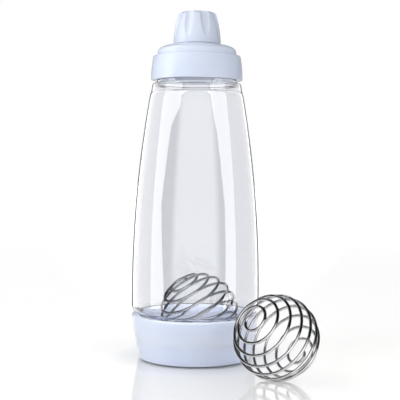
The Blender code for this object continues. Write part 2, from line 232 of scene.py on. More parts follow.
def noise(tree, scale, detail=3.0, stretch=None):
    """Noise in the object's own space, with its grain drawn out by stretch."""
    source = tree.nodes.new("ShaderNodeTexCoord").outputs["Object"]
    if stretch:
        mapping = tree.nodes.new("ShaderNodeMapping")
        mapping.inputs["Scale"].default_value = stretch
        tree.links.new(source, mapping.inputs["Vector"])
        source = mapping.outputs["Vector"]
    made = tree.nodes.new("ShaderNodeTexNoise")
    set_inputs(made, {"Scale": scale, "Detail": detail})
    tree.links.new(source, made.inputs["Vector"])
    return made.outputs["Fac"]


def ramp(tree, source, low, high, start=0.3, end=0.7):
    """A colour or grey that runs from low to high over a range of the source."""
    made = tree.nodes.new("ShaderNodeValToRGB")
    made.color_ramp.elements[0].position = start
    made.color_ramp.elements[1].position = end
    made.color_ramp.elements[0].color = low
    made.color_ramp.elements[1].color = high
    tree.links.new(source, made.inputs["Fac"])
    return made.outputs["Color"]


def bump(tree, source, shader, distance, strength):
    """Gives a shader fine relief of a height in metres."""
    made = tree.nodes.new("ShaderNodeBump")
    set_inputs(made, {"Distance": distance, "Strength": strength})
    tree.links.new(source, made.inputs["Height"])
    tree.links.new(made.outputs["Normal"], shader.inputs["Normal"])


def math_node(tree, operation, *values):
    """A math node's result, each of its inputs being a number or another node's output."""
    made = tree.nodes.new("ShaderNodeMath")
    made.operation = operation
    for socket, value in zip(made.inputs, values):
        if isinstance(value, float):
            socket.default_value = value
        else:
            tree.links.new(value, socket)
    return made.outputs["Value"]


def either(tree, share, first, second):
    """The first shader where share is 0 and the second where it is 1."""
    made = tree.nodes.new("ShaderNodeMixShader")
    tree.links.new(share, made.inputs["Fac"])
    tree.links.new(first, made.inputs[1])
    tree.links.new(second, made.inputs[2])
    return made.outputs["Shader"]


def moulded(name, colour, cloudy, rough, grain_depth, coat, milky=0.0):
    """Moulded plastic or silicone: faintly cloudy colour, uneven gloss and a very fine grain, with as
    much glossy coat and as much light spreading inside it as coat and milky say."""
    material, tree, shader = new_material(name)
    tree.links.new(ramp(tree, noise(tree, scale=42.0), cloudy, colour), shader.inputs["Base Color"])
    gloss = ramp(tree, noise(tree, scale=160.0), grey(rough[0]), grey(rough[1]))
    tree.links.new(gloss, shader.inputs["Roughness"])
    bump(tree, noise(tree, scale=2400.0, detail=2.0), shader, grain_depth, strength=0.3)
    set_inputs(shader, {
        "IOR": 1.49,
        "Coat Weight": coat,
        "Coat Roughness": 0.07,
        "Subsurface Weight": milky,
        "Subsurface Radius": (1.0, 1.0, 1.0),
        "Subsurface Scale": 0.006,
    })
    return material


def clear_plastic():
    """Clear moulded plastic, slightly smoky, whose wall lets lamps through to what is inside."""
    material, tree, shader = new_material("clear_plastic_look")
    set_inputs(shader, {
        "Transmission Weight": 1.0,
        "IOR": 1.12,
        "Coat Weight": 1.0,
        "Coat IOR": 1.5,
        "Coat Roughness": 0.02,
    })
    tint = ramp(tree, noise(tree, scale=9.0, detail=2.0), srgb(239, 240, 243), srgb(241, 242, 245))
    tree.links.new(tint, shader.inputs["Base Color"])
    gloss = ramp(tree, noise(tree, scale=60.0), grey(0.010), grey(0.030))
    tree.links.new(gloss, shader.inputs["Roughness"])
    waves = noise(tree, scale=26.0, detail=1.0, stretch=(1.0, 1.0, 0.3))
    bump(tree, waves, shader, distance=0.0002, strength=0.05)
    path = tree.nodes.new("ShaderNodeLightPath")
    through = tree.nodes.new("ShaderNodeBsdfTransparent")
    through.inputs["Color"].default_value = grey(1.0)
    surface = either(tree, path.outputs["Is Shadow Ray"], shader.outputs["BSDF"], through.outputs["BSDF"])
    absorb = tree.nodes.new("ShaderNodeVolumeAbsorption")
    set_inputs(absorb, {"Color": srgb(205, 212, 226), "Density": 22.0})
    output = tree.nodes["Material Output"]
    tree.links.new(surface, output.inputs["Surface"])
    tree.links.new(absorb.outputs["Volume"], output.inputs["Volume"])
    return material


def steel_wire():
    """Polished stainless wire: a faintly uneven tint, slightly uneven gloss and a very fine grain."""
    material, tree, shader = new_material("steel_wire_look")
    shader.inputs["Metallic"].default_value = 1.0
    tint = ramp(tree, noise(tree, scale=120.0), srgb(212, 212, 213), srgb(227, 227, 227))
    tree.links.new(tint, shader.inputs["Base Color"])
    gloss = ramp(tree, noise(tree, scale=420.0), grey(0.06), grey(0.11))
    tree.links.new(gloss, shader.inputs["Roughness"])
    bump(tree, noise(tree, scale=1500.0, detail=2.0), shader, distance=0.00003, strength=0.25)
    return material


# Turned pieces

def arc(centre, size, start_deg, end_deg, count):
    """Points of a circle or ellipse arc, as (radius, height)."""
    points = []
    for step in range(count + 1):
        angle = math.radians(start_deg + (end_deg - start_deg) * step / count)
        points.append((centre[0] + size[0] * math.cos(angle), centre[1] + size[1] * math.sin(angle)))
    return points


def rounding(centre, size, start_deg, end_deg, count=ROUND_STEPS):
    """Points of a circle arc that rounds an edge off."""
    return arc(centre, (size, size), start_deg, end_deg, count)


def leaning(wide, narrow, power, count):
    """Points from the wide end of a wall to its narrow end, which leans in ever faster on the way."""
    points = []
    for step in range(count + 1):
        along = step / count
        radius = wide[0] + (narrow[0] - wide[0]) * along**power
        points.append((radius, wide[1] + (narrow[1] - wide[1]) * along))
    return points


def upright(radius, start, end):
    """Points of a straight wall, close enough together to carry a thread."""
    count = max(1, round(abs(end - start) / THREAD_STEP))
    return [(radius, start + (end - start) * index / count) for index in range(count + 1)]


def smooth(value):
    """A share from 0 to 1 that starts and stops gently."""
    value = min(1.0, max(0.0, value))
    return value * value * (3 - 2 * value)


class Thread:
    """Ridges of a right-handed thread that stand out (or in, with a negative height) of one wall."""

    def __init__(self, radius, span, pitch, starts, height):
        self.radius = radius
        self.low, self.high = span
        self.pitch = pitch
        self.starts = starts
        self.height = height

    def stand_off(self, radius, z, angle):
        """How far the ridge stands off the wall at a height and an angle."""
        if abs(radius - self.radius) > 0.01 or not self.low < z < self.high:
            return 0.0
        turns = (z - self.low) / self.pitch - self.starts * angle / (2 * math.pi)
        off = abs(turns - round(turns)) * self.pitch
        flank = FLANK_SHARE * self.pitch
        fade = smooth(min(z - self.low, self.high - z) / (FADE_SHARE * self.pitch))
        return self.height * smooth((flank - off) / (FLANK_SLOPE * flank)) * fade


def revolve(name, rows, closed=True, threads=(), shape=None, steps=TURN_STEPS):
    """Rows of (radius, height) in millimetres turned about the axis. shape may change a row's radius."""
    verts, rings = [], []
    for radius, z in rows:
        if radius < 0.0001:
            rings.append([len(verts)] * steps)
            verts.append((0.0, 0.0, z * MM))
            continue
        rings.append(list(range(len(verts), len(verts) + steps)))
        for step in range(steps):
            angle = 2 * math.pi * step / steps
            here = shape(radius, z, angle) if shape else radius
            here += sum(thread.stand_off(radius, z, angle) for thread in threads)
            verts.append((here * math.cos(angle) * MM, here * math.sin(angle) * MM, z * MM))
    pairs = list(zip(rings, rings[1:]))
    if closed:
        pairs.append((rings[-1], rings[0]))
    faces = []
    for lower, upper in pairs:
        for step in range(steps):
            after = (step + 1) % steps
            corners = dict.fromkeys((lower[step], lower[after], upper[after], upper[step]))
            if len(corners) > 2:
                faces.append(tuple(corners))
    mesh = bpy.data.meshes.new(name)
    mesh.from_pydata(verts, [], faces)
    return piece_of(name, mesh)


def piece_of(name, mesh, sharp_deg=SHARP_DEG):
    """An object of a mesh, with its faces turned outward and smooth up to sharp edges."""
    work = bmesh.new()
    work.from_mesh(mesh)
    bmesh.ops.remove_doubles(work, verts=work.verts, dist=1e-7)
    bmesh.ops.recalc_face_normals(work, faces=work.faces)
    work.to_mesh(mesh)
    work.free()
    mesh.polygons.foreach_set("use_smooth", [True] * len(mesh.polygons))
    mesh.set_sharp_from_angle(angle=math.radians(sharp_deg))
    piece = bpy.data.objects.new(name, mesh)
    SCENE.collection.objects.link(piece)
    return piece


def base_cup():
    """The cup: its well and ledge, the threaded wall, the rim, the leaning outside and a recess
    round the foot."""
    foot = (BASE_FOOT_RADIUS, FOOT_GAP_HEIGHT + FOOT_ROUND)
    rim = (BASE_RIM_RADIUS, BASE_HEIGHT - BASE_RIM_ROUND)
    well = (BASE_WELL_RADIUS - BASE_WELL_ROUND, BASE_FLOOR + BASE_WELL_ROUND)
    underside = BASE_FOOT_RADIUS - FOOT_GAP_DEPTH

    rows = [(0.0, BASE_FLOOR), (0.5 * well[0], BASE_FLOOR)]
    rows += rounding(well, BASE_WELL_ROUND, -90, 0)
    rows += rounding((BASE_WELL_RADIUS + EDGE, BASE_LEDGE_HEIGHT - EDGE), EDGE, 180, 90, EDGE_STEPS)
    rows += [(BASE_THREAD_RADIUS - LEDGE_FILLET, BASE_LEDGE_HEIGHT)]
    rows += upright(BASE_THREAD_RADIUS, BASE_LEDGE_HEIGHT + LEDGE_FILLET, rim[1])
    rows += rounding((BASE_THREAD_RADIUS + BASE_RIM_ROUND, rim[1]), BASE_RIM_ROUND, 180, 90)[1:]
    rows += rounding((rim[0] - BASE_RIM_ROUND, rim[1]), BASE_RIM_ROUND, 90, 0)[:-1]
    rows += leaning(rim, foot, BASE_LEAN_POWER, WALL_STEPS)
    rows += rounding((foot[0] - FOOT_ROUND, foot[1]), FOOT_ROUND, 0, -90)[1:]
    rows += [(underside, FOOT_GAP_HEIGHT), (underside, 0.0), (0.0, 0.0)]
    thread = Thread(BASE_THREAD_RADIUS, BASE_THREAD_SPAN, MOUTH_PITCH, BOTTLE_STARTS, -RIDGE_IN)
    return revolve("base_cup_look", rows, closed=False, threads=[thread])


def bottle():
    """The clear body with its band and crease, and a threaded neck at each end."""
    wide = (BOTTLE_WIDE_RADIUS, BOTTLE_WIDE_Z)
    chest = (BOTTLE_CHEST_RADIUS, BOTTLE_CHEST_Z)
    body = leaning(wide, chest, WALL_LEAN_POWER, BODY_STEPS)[::-1]
    band_radius = BOTTLE_BAND_RADIUS - BAND_LEAN
    band = (band_radius - BAND_ROUND, BOTTLE_TOP - BAND_ROUND)
    band_foot = (BOTTLE_BAND_RADIUS, CREASE_Z + CREASE_TOP)
    skirt = (BOTTLE_SKIRT_RADIUS - BOTTLE_BOTTOM_ROUND, BOTTLE_BOTTOM + BOTTLE_BOTTOM_ROUND)
    lip = NECK_WALL / 2

    rows = rounding((UPPER_NECK_RADIUS - lip, UPPER_NECK_TOP - lip), lip, 90, 0, count=6)
    rows += upright(UPPER_NECK_RADIUS, UPPER_NECK_TOP - lip, BOTTLE_TOP + NECK_FILLET)[1:]
    fillet = (UPPER_NECK_RADIUS + NECK_FILLET, BOTTLE_TOP + NECK_FILLET)
    rows += rounding(fillet, NECK_FILLET, 180, 270, EDGE_STEPS)[1:]
    rows += rounding(band, BAND_ROUND, 90, 0, BIG_ROUND_STEPS)
    rows += leaning(band_foot, (band_radius, band[1]), power=1.0, count=BIG_ROUND_STEPS)[-2::-1]
    rows += [(BOTTLE_BAND_RADIUS - CREASE_DEPTH, CREASE_Z + CREASE_MIDDLE)]
    rows += [(BOTTLE_BAND_RADIUS + CREASE_LIP, CREASE_Z)]
    rows += [row for row in body if row[1] < CREASE_Z]
    rows += rounding(skirt, BOTTLE_BOTTOM_ROUND, 0, -90, count=16)
    rows += rounding((LOWER_NECK_RADIUS + EDGE, BOTTLE_BOTTOM - EDGE), EDGE, 90, 180, EDGE_STEPS)
    rows += upright(LOWER_NECK_RADIUS, BOTTLE_BOTTOM - EDGE, BOTTLE_MOUTH + lip)[1:]
    rows += rounding((LOWER_NECK_RADIUS - lip, BOTTLE_MOUTH + lip), lip, 0, -180, count=10)[1:]
    rows += bottle_inside(body, skirt, band_radius, lip)
    threads = [
        Thread(UPPER_NECK_RADIUS, UPPER_NECK_THREAD_SPAN, NECK_PITCH, BOTTLE_STARTS, RIDGE_OUT),
        Thread(LOWER_NECK_RADIUS, LOWER_NECK_THREAD_SPAN, MOUTH_PITCH, BOTTLE_STARTS, RIDGE_OUT),
    ]
    return revolve("bottle_look", rows, threads=threads)


def bottle_inside(body, skirt, band_radius, lip):
    """The rows of the bottle's inner wall, from its lower mouth up to its upper one."""
    neck_bore = UPPER_NECK_RADIUS - NECK_WALL
    mouth_bore = LOWER_NECK_RADIUS - NECK_WALL
    ceiling = BOTTLE_TOP - BOTTLE_WALL
    corner = (band_radius - BOTTLE_WALL - BAND_INNER_ROUND, ceiling - BAND_INNER_ROUND)
    rows = [(mouth_bore, BOTTLE_BOTTOM - MOUTH_LEAD), (mouth_bore, BOTTLE_BOTTOM)]
    rows += rounding(skirt, BOTTLE_BOTTOM_ROUND - BOTTLE_WALL, -60, 0, BIG_ROUND_STEPS)
    rows += [(radius - BOTTLE_WALL, height) for radius, height in body[::-1]]
    rows += rounding(corner, BAND_INNER_ROUND, 0, 90, count=6)
    rows += [(neck_bore + BORE_FLAT, ceiling), (neck_bore + BORE_EASE, ceiling + NECK_FILLET)]
    rows += [(neck_bore, BOTTLE_TOP), (neck_bore, BOTTLE_TOP + NECK_LEAD)]
    rows += [(neck_bore, UPPER_NECK_TOP - lip)]
    rows += rounding((neck_bore + lip, UPPER_NECK_TOP - lip), lip, 180, 90, count=6)[1:-1]
    return rows


def lid():
    """The lid: threaded spout, plateau, dome, step and collar outside, thread and hollow inside."""
    collar_top = (LID_COLLAR_TOP_RADIUS, LID_COLLAR_TOP - LID_COLLAR_ROUND)
    collar_foot = (LID_COLLAR_RADIUS, LID_BOTTOM + LID_LIP_ROUND)
    dome = (LID_PLATEAU_RADIUS, LID_DOME_BASE)
    size = (LID_STEP_RADIUS - LID_PLATEAU_RADIUS, LID_DOME_RISE)
    hollow = (size[0] - LID_WALL, size[1] - LID_WALL)
    hollow_top = LID_DOME_BASE + hollow[1]

    rows = rounding((SPOUT_RADIUS - EDGE, SPOUT_TOP - EDGE), EDGE, 90, 0, EDGE_STEPS)
    rows += upright(SPOUT_RADIUS, SPOUT_TOP - EDGE, LID_PLATEAU + FINE_EDGE)[1:]
    rows += rounding((SPOUT_RADIUS + FINE_EDGE, LID_PLATEAU + FINE_EDGE), FINE_EDGE, 180, 270, count=3)[1:]
    rim = (LID_PLATEAU_RADIUS - FINE_EDGE, LID_PLATEAU - FINE_EDGE)
    rows += rounding(rim, FINE_EDGE, 90, 0, EDGE_STEPS)
    rows += arc(dome, size, 90, 0, DOME_STEPS)
    rows += [(LID_STEP_RADIUS, LID_COLLAR_TOP + FINE_EDGE), (LID_STEP_RADIUS + FINE_EDGE, LID_COLLAR_TOP)]
    rows += rounding((collar_top[0] - LID_COLLAR_ROUND, collar_top[1]), LID_COLLAR_ROUND, 90, 0)[:-1]
    rows += leaning(collar_foot, collar_top, WALL_LEAN_POWER, COLLAR_STEPS)[::-1]
    rows += rounding((collar_foot[0] - LID_LIP_ROUND, collar_foot[1]), LID_LIP_ROUND, 0, -90)[1:]
    rows += rounding((LID_THREAD_RADIUS + EDGE, LID_BOTTOM + EDGE), EDGE, -90, -180, EDGE_STEPS)
    rows += upright(LID_THREAD_RADIUS, LID_BOTTOM + EDGE, LID_CEILING)[1:]
    rows += [(LID_STEP_RADIUS - LID_WALL, LID_CEILING)]
    rows += arc(dome, hollow, 0, 90, HOLLOW_STEPS)
    rows += [(SPOUT_BORE + EDGE, hollow_top), (SPOUT_BORE, hollow_top + EDGE)]
    rows += [(SPOUT_BORE, SPOUT_TOP - EDGE), (SPOUT_BORE + EDGE, SPOUT_TOP)]
    threads = [
        Thread(SPOUT_RADIUS, SPOUT_THREAD_SPAN, SPOUT_PITCH, SPOUT_STARTS, RIDGE_OUT),
        Thread(LID_THREAD_RADIUS, LID_THREAD_SPAN, NECK_PITCH, BOTTLE_STARTS, -RIDGE_IN),
    ]
    return revolve("lid_look", rows, threads=threads)


def nozzle():
    """The pouring tip: a domed mouth, a flange on the spout and a ribbed sleeve in its bore."""
    sleeve = SPOUT_BORE - FIT_GAP
    bore = sleeve - NOZZLE_WALL
    rise = NOZZLE_TIP - FLANGE_TOP
    mouth = (NOZZLE_HOLE_RADIUS + NOZZLE_LIP, FLANGE_TOP)
    inner_mouth = (NOZZLE_HOLE_RADIUS, FLANGE_TOP)
    rows = arc(mouth, (sleeve - mouth[0], rise), 90, 0, WALL_STEPS)
    rows += rounding((SPOUT_RADIUS - EDGE, FLANGE_TOP - EDGE), EDGE, 90, 0, EDGE_STEPS)
    rows += rounding((SPOUT_RADIUS - EDGE, FLANGE_BOTTOM + EDGE), EDGE, 0, -90, EDGE_STEPS)
    rows += [(sleeve, FLANGE_BOTTOM)]
    for rib in range(RIB_COUNT):
        rows += arc((sleeve, FLANGE_BOTTOM - RIB_DROP - RIB_PITCH * rib), RIB_SIZE, 90, -90, count=6)
    rows += rounding((sleeve - EDGE, NOZZLE_FOOT + EDGE), EDGE, 0, -90, EDGE_STEPS)
    rows += rounding((bore + EDGE, NOZZLE_FOOT + EDGE), EDGE, -90, -180, EDGE_STEPS)
    rows += arc(inner_mouth, (bore - inner_mouth[0], rise - NOZZLE_WALL), 0, 90, HOLLOW_STEPS)
    rows += [(NOZZLE_HOLE_RADIUS, NOZZLE_TIP - NOZZLE_MOUTH_EASE)]
    rows += [(NOZZLE_HOLE_RADIUS + NOZZLE_MOUTH_EASE, NOZZLE_TIP)]
    return revolve("nozzle_look", rows, steps=SMALL_TURN_STEPS)


def seal(name, bore, radius, bottom):
    """A flat ring of silicone with rounded edges and a raised bead on either face."""
    low = bottom + BEAD_RISE
    high = bottom + SEAL_THICKNESS - BEAD_RISE
    middle = (bore + radius) / 2
    rows = rounding((bore + SEAL_EDGE, high - SEAL_EDGE), SEAL_EDGE, 180, 90, count=5)
    rows += arc((middle, high), BEAD_SIZE, 180, 0, ROUND_STEPS)
    rows += rounding((radius - SEAL_EDGE, high - SEAL_EDGE), SEAL_EDGE, 90, 0, count=5)
    rows += rounding((radius - SEAL_EDGE, low + SEAL_EDGE), SEAL_EDGE, 0, -90, count=5)
    rows += arc((middle, low), BEAD_SIZE, 0, -180, ROUND_STEPS)
    rows += rounding((bore + SEAL_EDGE, low + SEAL_EDGE), SEAL_EDGE, -90, -180, count=5)
    return revolve(name, rows)


def base_seal():
    """The ring on the base cup's ledge, under the bottle's lower mouth."""
    radius = BASE_THREAD_RADIUS - FIT_GAP
    return seal("base_seal_look", BASE_WELL_RADIUS + FIT_GAP, radius, BASE_SEAL_BOTTOM)


def lid_seal():
    """The ring between the bottle's upper neck and the lid."""
    bore = UPPER_NECK_RADIUS - NECK_WALL + FIT_GAP
    return seal("lid_seal_look", bore, LID_THREAD_RADIUS - FIT_GAP, LID_SEAL_BOTTOM)


def cap_liner():
    """A disc of silicone with rounded edges and a raised bead near its edge."""
    top = LINER_BOTTOM + LINER_THICKNESS
    face = top - BEAD_RISE
    heights = (face, top, top, face)
    rows = [(0.0, face)]
    rows += [(share * LINER_RADIUS, height) for share, height in zip(LINER_BEAD_SHARES, heights)]
    rows += rounding((LINER_RADIUS - SEAL_EDGE, face - SEAL_EDGE), SEAL_EDGE, 90, 0, count=5)
    rows += rounding((LINER_RADIUS - SEAL_EDGE, LINER_BOTTOM + SEAL_EDGE), SEAL_EDGE, 0, -90, count=5)
    rows += [(0.0, LINER_BOTTOM)]
    return revolve("cap_liner_look", rows, closed=False, steps=SMALL_TURN_STEPS)


def cap_side(height):
    """The radius of the cap's bowed side at a height above its bottom edge."""
    along = height / (CAP_TOP - CAP_BOTTOM - CAP_TOP_ROUND)
    return CAP_SKIRT_RADIUS + (CAP_SHOULDER_RADIUS - CAP_SKIRT_RADIUS) * along**WALL_LEAN_POWER


def softer_least(first, second, width):
    """The lesser of two lengths, with the crease between them rounded off over a width."""
    share = max(0.0, width - abs(first - second)) / width
    return min(first, second) - share * share * width / 4


def fluted(radius, z, angle):
    """The cap's radius where a leaning round rod has scooped a flute out of its side."""
    height = z - CAP_BOTTOM
    step = 2 * math.pi / FLUTE_COUNT
    around = angle + math.pi / 2
    across = (around / step - math.floor(around / step) - 0.5) * step
    point = (cap_side(FLUTE_POINT_HEIGHT), FLUTE_POINT_HEIGHT)
    deep = (cap_side(FLUTE_DEEP_HEIGHT) - FLUTE_DEPTH, FLUTE_DEEP_HEIGHT)
    length = math.hypot(deep[0] - point[0], deep[1] - point[1])
    lean = ((deep[0] - point[0]) / length, (deep[1] - point[1]) / length)
    start = point[0] * lean[1] - point[1] * lean[0]
    scooped = radius
    for _ in range(FLUTE_ROUNDS):
        sideways = min(abs(scooped * math.sin(across)), FLUTE_RADIUS)
        depth = FLUTE_RADIUS - math.sqrt(FLUTE_RADIUS**2 - sideways**2)
        scooped = (start + depth + height * lean[0]) / (lean[1] * math.cos(across))
    return softer_least(radius, scooped, FLUTE_EDGE)


def cap():
    """The cap: a fluted shell outside, and inside it a groove, a threaded sleeve and the liner's seat."""
    shoulder = (CAP_SHOULDER_RADIUS, CAP_TOP - CAP_TOP_ROUND)
    shell_bore = CAP_SKIRT_RADIUS - CAP_SHELL
    sleeve = CAP_THREAD_RADIUS + CAP_SLEEVE_WALL
    groove_top = CAP_BOTTOM + CAP_GROOVE_DEPTH
    thread_top = FLANGE_TOP + SEAT_GAP
    liner_bore = LINER_RADIUS + FIT_GAP
    skirt_edge = CAP_BOTTOM + FINE_EDGE

    outside = [(radius, CAP_TOP) for radius in CAP_FLAT_RADII]
    outside += rounding((shoulder[0] - CAP_TOP_ROUND, shoulder[1]), CAP_TOP_ROUND, 90, 0, count=14)[:-1]
    outside += leaning((CAP_SKIRT_RADIUS, skirt_edge), shoulder, WALL_LEAN_POWER, BODY_STEPS)[::-1]
    rows = outside + [(CAP_SKIRT_RADIUS - FINE_EDGE, CAP_BOTTOM)]
    rows += [(shell_bore, CAP_BOTTOM), (shell_bore, groove_top), (sleeve, groove_top)]
    rows += [(sleeve, skirt_edge), (sleeve - FINE_EDGE, CAP_BOTTOM)]
    rows += rounding((CAP_THREAD_RADIUS + FINE_EDGE, skirt_edge), FINE_EDGE, -90, -180, count=3)
    rows += upright(CAP_THREAD_RADIUS, skirt_edge, thread_top)[1:]
    rows += [(liner_bore, thread_top + CAP_THREAD_RADIUS - liner_bore), (liner_bore, CAP_CEILING)]
    rows += [(0.0, CAP_CEILING)]
    outer_rows = set(outside)

    def shape(radius, z, angle):
        return fluted(radius, z, angle) if (radius, z) in outer_rows else radius

    thread = Thread(CAP_THREAD_RADIUS, CAP_THREAD_SPAN, SPOUT_PITCH, SPOUT_STARTS, -RIDGE_IN)
    return revolve(
        "cap_look", rows, closed=False, threads=[thread], shape=shape, steps=CAP_TURN_STEPS
    )


# The wire balls

def pole_turn(direction_deg, rise_deg, spin_deg):
    """The turn that points a ball's upper pole in a compass direction at a rise, after a spin about it."""
    spin = Matrix.Rotation(math.radians(spin_deg), 3, "Z")
    tip = Matrix.Rotation(math.radians(90.0 - rise_deg), 3, "Y")
    return Matrix.Rotation(math.radians(direction_deg), 3, "Z") @ tip @ spin


def whisk_line(per_loop):
    """The wire's centre line in millimetres: a spiral over the ball from one pole to the other."""
    sweep = 180.0 - 2 * WHISK_END_DEG
    loops = sweep / WHISK_PITCH_DEG
    count = round(loops * per_loop)
    points = []
    for step in range(count + 1):
        polar = math.radians(WHISK_END_DEG + sweep * step / count)
        around = 2 * math.pi * loops * step / count
        points.append((WHISK_RADIUS - WIRE_RADIUS) * Vector((
            math.sin(polar) * math.cos(around),
            math.sin(polar) * math.sin(around),
            math.cos(polar),
        )))
    return points


def wire_rings(points, radius):
    """Rings of a round wire along points, as (place, direction, radius), drawn in at both ends."""
    directions = []
    for index in range(len(points)):
        before = points[max(0, index - 1)]
        after = points[min(len(points) - 1, index + 1)]
        directions.append((after - before).normalized())
    ends = []
    for step_deg in WIRE_END_STEPS_DEG:
        ends.append((radius * math.sin(math.radians(step_deg)), radius * math.cos(math.radians(step_deg))))
    rings = [(points[0] - directions[0] * past, directions[0], size) for past, size in ends]
    rings += [(point, along, radius) for point, along in zip(points, directions)]
    rings += [(points[-1] + directions[-1] * past, directions[-1], size) for past, size in ends[::-1]]
    return rings


def wire_mesh(name, points, radius, sides):
    """A round wire along points, with rounded ends, in metres."""
    rings = wire_rings(points, radius)
    verts, faces = [], []
    normal = points[0].normalized()
    for place, along, size in rings:
        normal = (normal - along * normal.dot(along)).normalized()
        side = along.cross(normal)
        for step in range(sides):
            angle = 2 * math.pi * step / sides
            verts.append(place + (normal * math.cos(angle) + side * math.sin(angle)) * size)
    for ring in range(len(rings) - 1):
        for step in range(sides):
            after = (step + 1) % sides
            low, high = ring * sides, (ring + 1) * sides
            faces.append((low + step, low + after, high + after, high + step))
    faces.append(tuple(range(sides)))
    faces.append(tuple(range((len(rings) - 1) * sides, len(rings) * sides)))
    mesh = bpy.data.meshes.new(name)
    mesh.from_pydata([tuple(vert) for vert in verts], [], faces)
    return mesh


def whisk_ball(node, turn_deg):
    """The ball's wire in full, about the centre of the CAD node's own wire."""
    turn = pole_turn(*turn_deg)
    coarse = [turn @ (point * MM) for point in whisk_line(CAD_POINTS_PER_LOOP)]
    low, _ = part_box(node)
    radius = WIRE_RADIUS * MM
    points = [turn @ (point * MM) for point in whisk_line(POINTS_PER_LOOP)]
    mesh = wire_mesh(node + "_look", points, radius, WIRE_SIDES)
    piece = piece_of(node + "_look", mesh, WIRE_SHARP_DEG)
    piece.location = (
        low.x - min(point.x for point in coarse) + radius,
        low.y - min(point.y for point in coarse) + radius,
        low.z - min(point.z for point in coarse) + radius,
    )
    return piece


# The pieces on their bodies

PIECES = {}


def dress(piece, node, body, material):
    """Gives a piece its material and has it stand for a CAD node on that node's body."""
    PIECES[node] = piece
    piece.data.materials.append(material)
    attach(piece, body)
    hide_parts(node)


SATIN = (0.30, 0.40)
PLASTIC_GRAIN = 0.00002
# Painted shade: the cap's colour is a darker copy of the base's pale plastic, to offset the upper light that
# falls on it
CAP_PLASTIC_PAINTED_DARKER = moulded(
    "pale_plastic_look", srgb(200, 208, 224), srgb(196, 204, 221), SATIN, PLASTIC_GRAIN, coat=1.0
)
BASE_PLASTIC = moulded(
    "milky_plastic_look", srgb(219, 227, 248), srgb(215, 224, 246), SATIN, PLASTIC_GRAIN, coat=1.0, milky=0.6
)
# Painted shade: the lid's colour is a darker copy of the base's pale plastic, to offset the upper light that
# falls on it
LID_PLASTIC_PAINTED_DARKER = moulded(
    "lid_plastic_look", srgb(203, 211, 228), srgb(199, 208, 226), SATIN, PLASTIC_GRAIN, coat=1.0, milky=0.6
)
SILICONE = moulded(
    "silicone_look", srgb(226, 227, 238), srgb(220, 222, 234), (0.50, 0.60), 0.00003, coat=0.0
)
CLEAR = clear_plastic()
STEEL = steel_wire()

dress(base_cup(), "base_cup", "base", BASE_PLASTIC)
dress(bottle(), "bottle", "bottle", CLEAR)
dress(lid(), "lid", "lid", LID_PLASTIC_PAINTED_DARKER)
dress(nozzle(), "nozzle", "lid", SILICONE)
dress(cap(), "cap", "cap", CAP_PLASTIC_PAINTED_DARKER)
dress(base_seal(), "base_seal", "base_seal", SILICONE)
dress(lid_seal(), "lid_seal", "lid_seal", SILICONE)
dress(cap_liner(), "cap_liner", "cap_liner", SILICONE)
dress(whisk_ball("whisk_ball", WHISK_TURN_DEG), "whisk_ball", "whisk_ball", STEEL)
dress(
    whisk_ball("spare_whisk_ball", SPARE_TURN_DEG),
    "spare_whisk_ball", "spare_whisk_ball", STEEL,
)

GLASS = [PIECES["bottle"]]
UPPER = [PIECES["lid"], PIECES["cap"]]
MOULDED = [
    piece for node, piece in PIECES.items() if node not in ("bottle", "whisk_ball", "spare_whisk_ball")
]

# The studio. A panel's corners are directions from the middle of the bottle, in degrees: the azimuth,
# with 0 on the camera's side and 90 at +X, and the rise.
STUDIO_MIDDLE = Vector((0.0, 0.0, 0.15))
LEFT_CORNERS = (
    (-92, 55), (-20, 55), (-38, 22.6), (-57.8, 17.6), (-67, 4.3), (-58, -8), (-55, -20), (-85, -20)
)
RIGHT_CORNERS = (
    (80, 55), (20, 55), (36, 22.6), (45, 17.6), (54.6, 4.3), (54, -8), (45, -20), (75, -20)
)
LEFT_WALL = ((-92, 55), (-150, 55), (-150, -25), (-85, -20))
RIGHT_WALL = ((80, 55), (150, 55), (150, -25), (75, -20))
UPPER_LIGHT = ((-110, 0), (-65, 0), (-65, 45), (-110, 45))
BACK_WALL = ((125, -4), (125, 34), (235, 34), (235, -4))
LEFT_SIDE_WALL = ((-125, -4), (-125, 34), (-35, 34), (-35, -4))
RIGHT_SIDE_WALL = ((35, -4), (35, 34), (125, 34), (125, -4))
WALL_DISTANCE = 12.0
GLASS_DISTANCE = 1.5
SHEEN_DISTANCE = 1.55
LIGHT_DISTANCE = 1.6
UPPER_DISTANCE = 1.65

# The floor, in metres, and its glow, which starts past the foot: the ring without glow round the foot is a
# painted contact shadow
FLOOR_LEVEL = -0.00005
FLOOR_SIDES = 96
TABLE_BORE = 0.001
TABLE_RADIUS = 0.30
FLOOR_RADIUS = 6.0
GLOW_START = 0.048
GLOW_END = 0.075
FLOOR_GLOW = 0.12

# The world: a fill that weakens with height, the light let in through the clear wall, and the shades
# that mirrors show, from 0 straight in front of the object to 1 straight behind it
FILL_STRENGTH = 0.95
FILL_LEVEL = 0.85
FILL_CHANGE = -0.72
LET_IN_LIGHT = (5.8, 5.0, 3.9)
MIRRORED_STRENGTH = 1.6
MIRRORED_SHADES = (
    (0.10, 1.0), (0.17, 0.01), (0.90, 0.01), (0.925, 0.33),
    (0.960, 0.33), (0.972, 0.04), (0.994, 0.04), (0.998, 0.55),
)

# The camera, in metres and degrees
CAMERA_PLACE = (0.0, -0.835, 0.1705)
CAMERA_HEADING_DEG = -0.24
CAMERA_PITCH_DEG = -2.3
CAMERA_ROLL_DEG = 0.42
CAMERA_LENS_MM = 86.76
CAMERA_SENSOR_MM = 36.0
CAMERA_CLIP = (0.05, 20.0)


def direction(azimuth_deg, rise_deg):
    """The way from the object to a place in the studio."""
    azimuth, rise = math.radians(azimuth_deg), math.radians(rise_deg)
    return Vector((
        math.sin(azimuth) * math.cos(rise), -math.cos(azimuth) * math.cos(rise), math.sin(rise)
    ))


